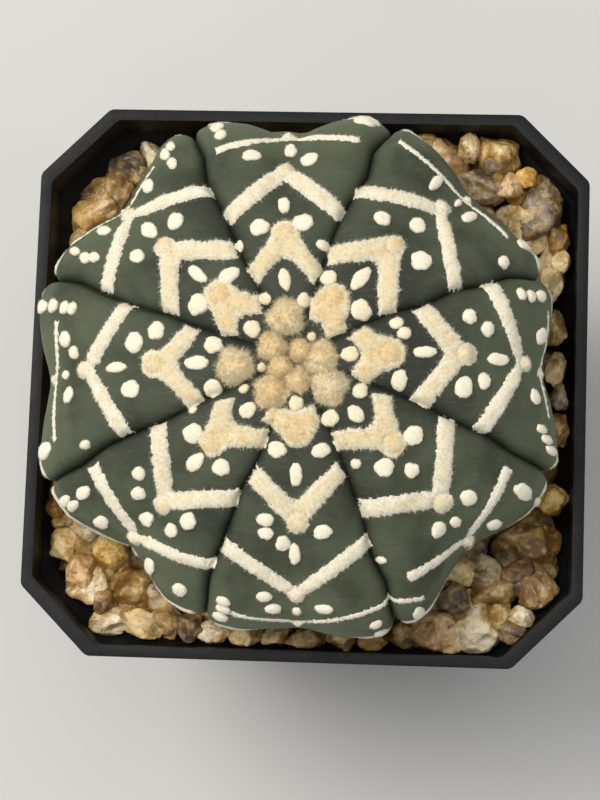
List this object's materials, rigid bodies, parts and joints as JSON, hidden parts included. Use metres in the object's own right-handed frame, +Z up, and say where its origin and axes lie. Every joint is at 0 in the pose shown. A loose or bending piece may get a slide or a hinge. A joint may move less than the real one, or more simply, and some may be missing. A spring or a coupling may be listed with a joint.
{
  "type": "potted sand dollar cactus",
  "caption": "Flattened ribbed cactus with white wool chevrons and dots, in a square black plastic pot with cut corners and a quartz gravel top dressing.",
  "frame": {"origin": "middle of the pot's underside", "axes": "+Z up, the pot's flat sides face +X, -X, +Y and -Y"},
  "size_m": [0.09, 0.09, 0.1062],
  "materials": {
    "pot_plastic": "fine matte, slightly dusty black plastic",
    "potting_mix": "loose dark gritty mix",
    "quartz_gravel": "rough broken quartz, tan to amber",
    "cactus_skin": "matte dark green skin with fine white flecks",
    "wool": "short felted cream wool"
  },
  "bodies": {
    "root": {"pot": "pot_plastic", "potting_mix": "potting_mix", "gravel": "quartz_gravel", "cactus": "cactus_skin"}
  },
  "joints": []
}
